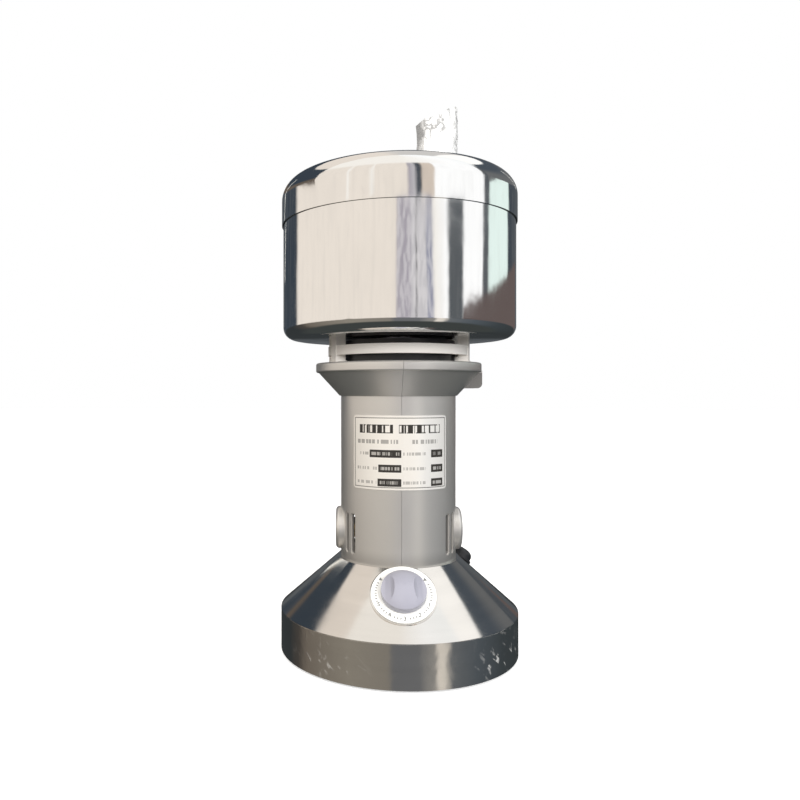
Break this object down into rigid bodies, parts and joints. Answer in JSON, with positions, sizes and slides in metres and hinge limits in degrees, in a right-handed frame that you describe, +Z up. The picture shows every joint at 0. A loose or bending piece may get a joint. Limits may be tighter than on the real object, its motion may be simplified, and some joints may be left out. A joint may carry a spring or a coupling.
{
  "type": "powder hammer mill",
  "caption": "Bench-top powder mill: bladed steel bowl with lift-off lid on a cast cage, motor column and conical base with a timer knob.",
  "frame": {"origin": "centre of the four feet on the surface that the mill stands on", "axes": "+Z up along the motor's axis, the timer's side towards -Y, +X to the right of someone facing the timer"},
  "size_m": [0.15, 0.15, 0.3459],
  "materials": {
    "brushed_base": "spun and brushed stainless",
    "plate_steel": "zinc plated sheet",
    "foot_rubber": "moulded",
    "plated_fasteners": "zinc plated",
    "black_plastic": "moulded",
    "ivory_plastic": "moulded",
    "dial_white": "printed white",
    "knob_plastic": "moulded, fine grain",
    "housing_paint": "silver paint",
    "label_foil": "printed foil",
    "brass": "turned",
    "carbon": "pressed carbon",
    "spring_steel": "wire",
    "cast_aluminium": "cast and blasted",
    "bearing_steel": "ground",
    "laminations": "stacked sheet",
    "copper": "enamelled winding",
    "polished_steel": "mirror polished stainless",
    "blade_steel": "ground",
    "silicone": "moulded silicone",
    "clear_film": "crumpled clear film"
  },
  "bodies": {
    "frame": {"base_shell": "brushed_base", "base_plate": "plate_steel", "clamp_ring": "plate_steel", "rubber_feet": "foot_rubber", "plate_screws": "plated_fasteners", "clamp_screws": "plated_fasteners", "timer_nut": "plated_fasteners", "housing_screws": "plated_fasteners", "motor_bolts": "plated_fasteners", "bolt_spacers": "plated_fasteners", "cage_screws": "plated_fasteners", "bowl_screws": "plated_fasteners", "bush_nut": "plated_fasteners", "cable_gland": "black_plastic", "gland_nut": "black_plastic", "brush_caps": "black_plastic", "motor_cap": "black_plastic", "terminal_block": "ivory_plastic", "timer_body": "ivory_plastic", "dial_plate": "dial_white", "housing_left": "housing_paint", "housing_right": "housing_paint", "label_plate": "label_foil", "brush_holders": "brass", "shaft_bush": "brass", "carbon_brushes": "carbon", "brush_springs": "spring_steel", "lower_bracket": "cast_aluminium", "upper_bracket": "cast_aluminium", "cage": "cast_aluminium", "lower_bearing": "bearing_steel", "upper_bearing": "bearing_steel", "stator_core": "laminations", "stator_coils": "copper", "bowl": "polished_steel"},
    "rotor": {"motor_shaft": "bearing_steel", "armature_core": "laminations", "armature_windings": "copper", "commutator": "copper", "fan": "black_plastic", "lower_blade": "blade_steel", "hammer_bar": "blade_steel", "upper_blade": "blade_steel", "blade_spacers": "blade_steel", "blade_washer": "blade_steel", "blade_nut": "blade_steel"},
    "timer_knob": {"timer_knob": "knob_plastic", "timer_shaft": "bearing_steel"},
    "lid_seal": {"lid_seal": "silicone"},
    "lid": {"lid": "polished_steel", "lid_knob": "polished_steel", "knob_screw": "plated_fasteners", "knob_film": "clear_film"}
  },
  "joints": [
    {"name": "rotor_spin", "type": "hinge", "parent": "frame", "child": "rotor", "pos_m": [0, 0, 0.19], "axis": [0, 0, 1], "continuous": true},
    {"name": "timer_turn", "type": "hinge", "parent": "frame", "child": "timer_knob", "pos_m": [0, -0.052, 0.04716], "axis": [0, -0.6592, 0.7519], "range_deg": [-300, 0]},
    {"name": "lid_lift", "type": "slide", "parent": "frame", "child": "lid_seal", "axis": [0, 0, 1], "range_m": [0, 0.12]},
    {"name": "lid_turn", "type": "hinge", "parent": "lid_seal", "child": "lid", "pos_m": [0, 0, 0.29], "axis": [0, 0, 1], "range_deg": [0, 120]}
  ]
}
